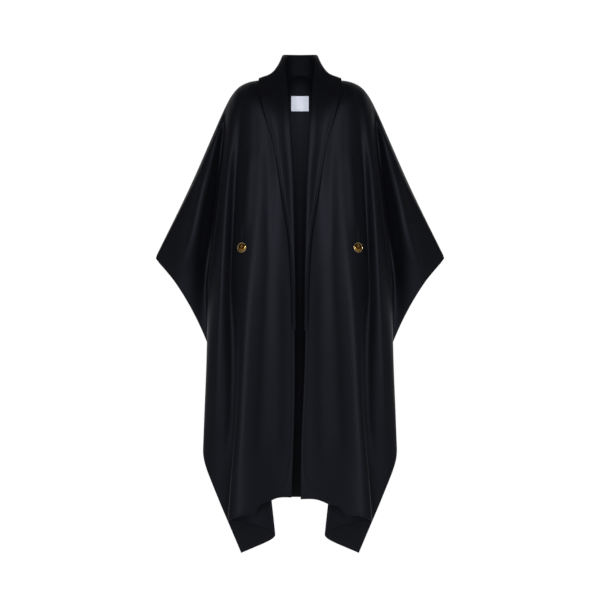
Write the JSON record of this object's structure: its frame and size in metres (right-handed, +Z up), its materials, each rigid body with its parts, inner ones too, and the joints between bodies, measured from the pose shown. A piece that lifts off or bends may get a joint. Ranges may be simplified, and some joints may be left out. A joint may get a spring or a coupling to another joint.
{
  "type": "worn wool cloak",
  "caption": "Long open wool cloak with a shawl collar, wide wing sleeves over the arms and domed metal buttons, hollow as worn.",
  "frame": {"origin": "middle of the neck at the height of the shoulders, where the wearer carries the cloak", "axes": "+Z up, the wearer faces -Y, +X to the wearer's left"},
  "size_m": [0.8238, 0.384, 1.4491],
  "materials": {
    "wool": "brushed double-faced wool, matt with a soft nap",
    "button_metal": "polished aged gold",
    "label": "bare satin weave"
  },
  "bodies": {
    "root": {"front_right": "wool", "front_left": "wool", "back_right": "wool", "back_left": "wool", "collar_right": "wool", "collar_left": "wool", "button_right": "button_metal", "button_left": "button_metal", "label": "label"}
  },
  "joints": []
}
